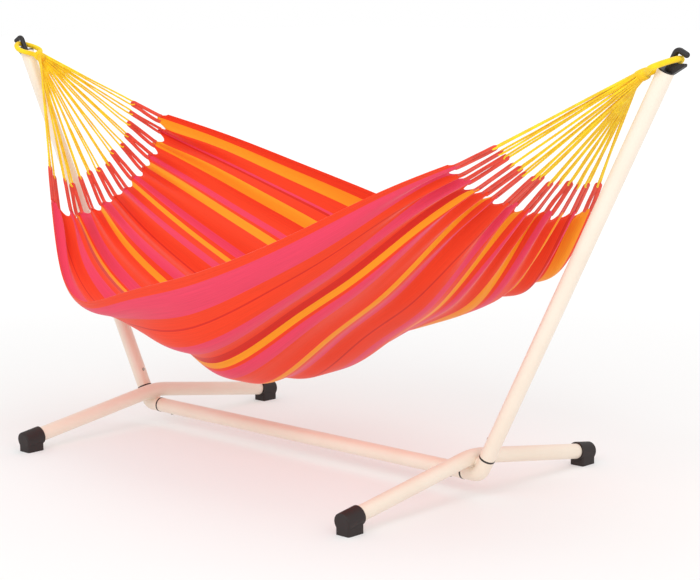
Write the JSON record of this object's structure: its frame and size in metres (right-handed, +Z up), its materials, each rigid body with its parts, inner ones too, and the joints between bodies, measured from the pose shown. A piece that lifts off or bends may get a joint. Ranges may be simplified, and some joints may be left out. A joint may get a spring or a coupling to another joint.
{
  "type": "hammock on stand",
  "caption": "Free-standing tube hammock stand with a striped cloth hammock hung from hooks by cord fans; arms push into sockets with snap buttons.",
  "frame": {"origin": "on the ground under the middle of the base beam", "axes": "+X along the stand towards the right arm, +Z up, +Y across the stand"},
  "size_m": [2.5912, 1.0082, 1.1833],
  "materials": {
    "cream_tube": "satin powder coat",
    "weld_metal": "satin powder coat over weld",
    "joint_ring": "moulded matt",
    "foot_rubber": "moulded rubber",
    "hook_black": "satin moulded",
    "button_steel": "zinc plated",
    "spring_steel": "bare spring steel",
    "yellow_cord": "twisted cotton cord",
    "red_tab": "woven cotton webbing",
    "striped_cloth": "woven striped cotton"
  },
  "bodies": {
    "stand": {"base_beam": "cream_tube", "left_arm_tube": "cream_tube", "left_elbow": "cream_tube", "left_foot_tube": "cream_tube", "left_foot_weld": "weld_metal", "left_beam_bushing": "joint_ring", "left_arm_bushing": "joint_ring", "left_beam_spring": "spring_steel", "left_arm_spring": "spring_steel", "left_near_foot_cap": "foot_rubber", "left_far_foot_cap": "foot_rubber", "left_hook_horn": "hook_black", "left_hook_cap": "hook_black", "right_arm_tube": "cream_tube", "right_elbow": "cream_tube", "right_foot_tube": "cream_tube", "right_foot_weld": "weld_metal", "right_beam_bushing": "joint_ring", "right_arm_bushing": "joint_ring", "right_beam_spring": "spring_steel", "right_arm_spring": "spring_steel", "right_near_foot_cap": "foot_rubber", "right_far_foot_cap": "foot_rubber", "right_hook_horn": "hook_black", "right_hook_cap": "hook_black"},
    "hammock": {"fabric_bed": "striped_cloth", "left_rope_eye": "yellow_cord", "left_whipping": "yellow_cord", "left_tabs": "red_tab", "left_cords": "yellow_cord", "right_rope_eye": "yellow_cord", "right_whipping": "yellow_cord", "right_tabs": "red_tab", "right_cords": "yellow_cord"},
    "left_beam_button": {"left_beam_button": "button_steel"},
    "left_arm_button": {"left_arm_button": "button_steel"},
    "right_beam_button": {"right_beam_button": "button_steel"},
    "right_arm_button": {"right_arm_button": "button_steel"}
  },
  "joints": [
    {"name": "hammock_swing", "type": "hinge", "parent": "stand", "child": "hammock", "pos_m": [0, 0, 1.15669], "axis": [1, 0, 0], "range_deg": [-15, 15]},
    {"name": "left_beam_button_press", "type": "slide", "parent": "stand", "child": "left_beam_button", "axis": [0, 0, 1], "range_m": [0, 0.0066], "stiffness_N_per_m": 900, "springref_m": -0.003, "deforming": ["left_beam_spring"]},
    {"name": "left_arm_button_press", "type": "slide", "parent": "stand", "child": "left_arm_button", "axis": [-0.8829, 0, -0.4695], "range_m": [0, 0.0066], "stiffness_N_per_m": 900, "springref_m": -0.003, "deforming": ["left_arm_spring"]},
    {"name": "right_beam_button_press", "type": "slide", "parent": "stand", "child": "right_beam_button", "axis": [0, 0, 1], "range_m": [0, 0.0066], "stiffness_N_per_m": 900, "springref_m": -0.003, "deforming": ["right_beam_spring"]},
    {"name": "right_arm_button_press", "type": "slide", "parent": "stand", "child": "right_arm_button", "axis": [0.8829, 0, -0.4695], "range_m": [0, 0.0066], "stiffness_N_per_m": 900, "springref_m": -0.003, "deforming": ["right_arm_spring"]}
  ]
}
